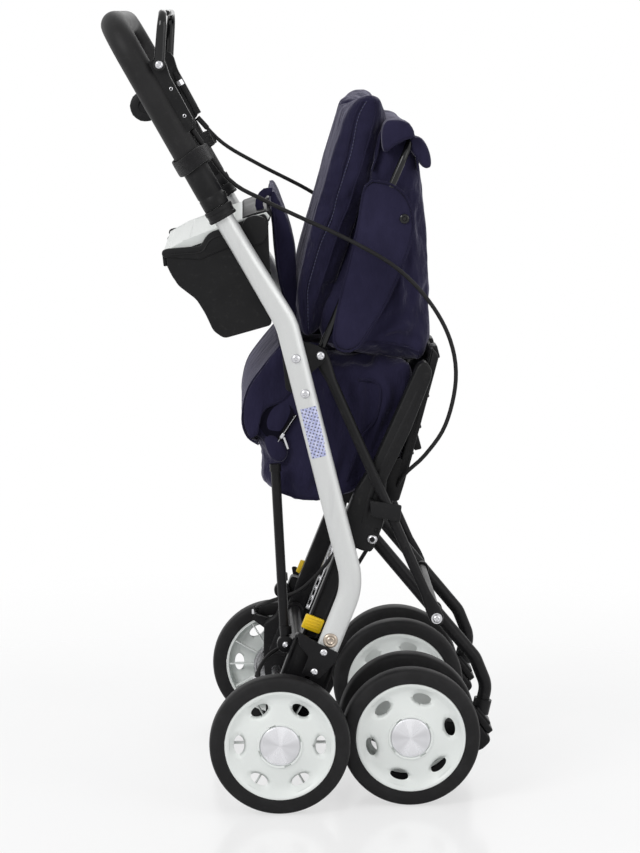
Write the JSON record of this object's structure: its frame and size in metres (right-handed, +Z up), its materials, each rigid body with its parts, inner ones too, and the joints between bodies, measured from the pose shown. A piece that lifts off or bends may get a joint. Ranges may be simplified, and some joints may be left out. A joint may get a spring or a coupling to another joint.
{
  "type": "folding rollator",
  "caption": "Folding walking frame on wheels with U-shaped handle, seat, cloth bag and lidded box, stored folded upright.",
  "frame": {"origin": "middle of the footprint's bounding box, on the floor the wheels stand on", "axes": "+X forwards, +Y to the rollator's left, +Z up"},
  "size_m": [0.471, 0.47, 0.9595],
  "materials": {
    "silver_paint": "satin",
    "zinc_steel": "satin",
    "black_coat": "satin",
    "gloss_black": "gloss",
    "black_plastic": "satin",
    "black_foam": "matte",
    "black_rubber": "matte",
    "white_plastic": "satin",
    "yellow_plastic": "satin",
    "navy_cloth": "woven"
  },
  "bodies": {
    "axle": {"rear_axle": "zinc_steel"},
    "rear_wheel_right": {"rear_right_tyre": "black_rubber", "rear_right_rim": "white_plastic"},
    "rear_wheel_left": {"rear_left_tyre": "black_rubber", "rear_left_rim": "white_plastic"},
    "base": {"base_bar_right": "black_coat", "base_bar_left": "black_coat", "bar_cover_right": "black_coat", "bar_cover_left": "black_coat", "axle_bracket_right": "black_coat", "axle_bracket_left": "black_coat", "base_cross_tube": "black_coat", "base_tray": "black_coat", "bag_strut_right": "black_coat", "bag_strut_left": "black_coat"},
    "latch_right": {"fold_latch_right": "yellow_plastic"},
    "latch_left": {"fold_latch_left": "yellow_plastic"},
    "brake_right": {"brake_arm_right": "black_coat"},
    "brake_left": {"brake_arm_left": "black_coat"},
    "frame": {"side_tube_right": "silver_paint", "side_tube_left": "silver_paint", "link_bracket_right": "black_coat", "link_bracket_left": "black_coat", "frame_cross_tube": "black_coat", "collar_right": "black_coat", "collar_left": "black_coat", "storage_box": "black_plastic", "bag_lower": "navy_cloth", "back_flap": "navy_cloth", "brake_cable_right": "black_coat", "brake_cable_left": "black_coat"},
    "lid": {"box_lid": "white_plastic"},
    "handle": {"handle_tube": "black_coat", "handle_grip": "black_foam", "lever_bracket_right": "black_coat", "lever_bracket_left": "black_coat", "knob_clamp": "black_coat"},
    "knob": {"height_knob": "black_coat"},
    "lever_right": {"brake_lever_right": "gloss_black"},
    "lever_left": {"brake_lever_left": "gloss_black"},
    "link_right": {"fold_link_right": "black_coat"},
    "link_left": {"fold_link_left": "black_coat"},
    "front": {"front_leg_right": "black_coat", "front_leg_left": "black_coat", "front_cross_tube": "black_coat", "caster_housing_right": "black_coat", "caster_housing_left": "black_coat"},
    "fork_right": {"caster_fork_right": "black_coat"},
    "fork_left": {"caster_fork_left": "black_coat"},
    "caster_right_outer": {"caster_right_outer_tyre": "black_rubber", "caster_right_outer_rim": "white_plastic"},
    "caster_right_inner": {"caster_right_inner_tyre": "black_rubber", "caster_right_inner_rim": "white_plastic"},
    "caster_left_outer": {"caster_left_outer_tyre": "black_rubber", "caster_left_outer_rim": "white_plastic"},
    "caster_left_inner": {"caster_left_inner_tyre": "black_rubber", "caster_left_inner_rim": "white_plastic"},
    "seat": {"seat_rail": "gloss_black", "seat_pad": "navy_cloth", "bag_upper": "navy_cloth"}
  },
  "joints": [
    {"name": "fold", "type": "hinge", "parent": "axle", "child": "base", "pos_m": [-0.0269, 0, 0.085], "axis": [0, 1, 0], "range_deg": [0, 40], "deforming": ["bag_lower", "back_flap", "bag_upper", "brake_cable_right", "brake_cable_left"]},
    {"name": "rear_right_spin", "type": "hinge", "parent": "axle", "child": "rear_wheel_right", "pos_m": [-0.0269, -0.2215, 0.085], "axis": [0, 1, 0], "continuous": true},
    {"name": "rear_left_spin", "type": "hinge", "parent": "axle", "child": "rear_wheel_left", "pos_m": [-0.0269, 0.2215, 0.085], "axis": [0, 1, 0], "continuous": true},
    {"name": "frame_pivot", "type": "hinge", "parent": "base", "child": "frame", "pos_m": [0.0342, 0, 0.2083], "axis": [0, 1, 0], "range_deg": [-33, 0]},
    {"name": "link_pivot_right", "type": "hinge", "parent": "frame", "child": "link_right", "pos_m": [0.0226, -0.1825, 0.5511], "axis": [0, 1, 0], "range_deg": [-20, 0]},
    {"name": "link_pivot_left", "type": "hinge", "parent": "frame", "child": "link_left", "pos_m": [0.0226, 0.1825, 0.5511], "axis": [0, 1, 0], "range_deg": [-20, 0]},
    {"name": "leg_pivot", "type": "hinge", "parent": "base", "child": "front", "pos_m": [0.0855, 0, 0.3259], "axis": [0, 1, 0], "range_deg": [-92, 0]},
    {"name": "seat_pivot", "type": "hinge", "parent": "frame", "child": "seat", "pos_m": [0.0226, 0, 0.5511], "axis": [0, 1, 0], "range_deg": [0, 71]},
    {"name": "latch_right_slide", "type": "slide", "parent": "base", "child": "latch_right", "axis": [0.3729, 0, 0.9279], "range_m": [0, 0.008]},
    {"name": "latch_left_slide", "type": "slide", "parent": "base", "child": "latch_left", "axis": [0.3729, 0, 0.9279], "range_m": [0, 0.008]},
    {"name": "handle_height", "type": "slide", "parent": "frame", "child": "handle", "axis": [-0.4925, 0, 0.8703], "range_m": [0, 0.1]},
    {"name": "knob_turn", "type": "hinge", "parent": "handle", "child": "knob", "pos_m": [-0.19506, 0.172, 0.83522], "axis": [0, 1, 0], "continuous": true},
    {"name": "lever_right_squeeze", "type": "hinge", "parent": "handle", "child": "lever_right", "pos_m": [-0.1659, -0.214, 0.8954], "axis": [0, 1, 0], "range_deg": [-22, 0], "stiffness_Nm_per_rad": 0.3},
    {"name": "lever_left_squeeze", "type": "hinge", "parent": "handle", "child": "lever_left", "pos_m": [-0.1659, 0.214, 0.8954], "axis": [0, 1, 0], "range_deg": [-22, 0], "stiffness_Nm_per_rad": 0.3},
    {"name": "brake_right_turn", "type": "hinge", "parent": "base", "child": "brake_right", "pos_m": [-0.0319, -0.1985, 0.14], "axis": [0, 1, 0], "range_deg": [0, 5]},
    {"name": "brake_left_turn", "type": "hinge", "parent": "base", "child": "brake_left", "pos_m": [-0.0319, 0.1985, 0.14], "axis": [0, 1, 0], "range_deg": [0, 5]},
    {"name": "lid_hinge", "type": "hinge", "parent": "frame", "child": "lid", "pos_m": [-0.0389, 0, 0.716], "axis": [0, 1, 0], "range_deg": [0, 75]},
    {"name": "caster_right_swivel", "type": "hinge", "parent": "front", "child": "fork_right", "pos_m": [0.2196, -0.142, 0.0892], "axis": [0.788, 0, 0.6157], "range_deg": [-4, 4]},
    {"name": "caster_left_swivel", "type": "hinge", "parent": "front", "child": "fork_left", "pos_m": [0.2196, 0.142, 0.0892], "axis": [0.788, 0, 0.6157], "range_deg": [-4, 4]},
    {"name": "caster_right_outer_spin", "type": "hinge", "parent": "fork_right", "child": "caster_right_outer", "pos_m": [0.1322, -0.186, 0.085], "axis": [0, 1, 0], "continuous": true},
    {"name": "caster_right_inner_spin", "type": "hinge", "parent": "fork_right", "child": "caster_right_inner", "pos_m": [0.1322, -0.098, 0.085], "axis": [0, 1, 0], "continuous": true},
    {"name": "caster_left_outer_spin", "type": "hinge", "parent": "fork_left", "child": "caster_left_outer", "pos_m": [0.1322, 0.186, 0.085], "axis": [0, 1, 0], "continuous": true},
    {"name": "caster_left_inner_spin", "type": "hinge", "parent": "fork_left", "child": "caster_left_inner", "pos_m": [0.1322, 0.098, 0.085], "axis": [0, 1, 0], "continuous": true}
  ],
  "couplings": [
    {"joint": "frame_pivot", "follows": "fold", "ratio": -0.8225},
    {"joint": "link_pivot_right", "follows": "fold", "ratio": -0.4925},
    {"joint": "link_pivot_left", "follows": "fold", "ratio": -0.4925},
    {"joint": "leg_pivot", "follows": "fold", "ratio": -2.295},
    {"joint": "seat_pivot", "follows": "fold", "ratio": 1.76},
    {"joint": "brake_right_turn", "follows": "lever_right_squeeze", "ratio": -0.195},
    {"joint": "brake_left_turn", "follows": "lever_left_squeeze", "ratio": -0.195}
  ]
}
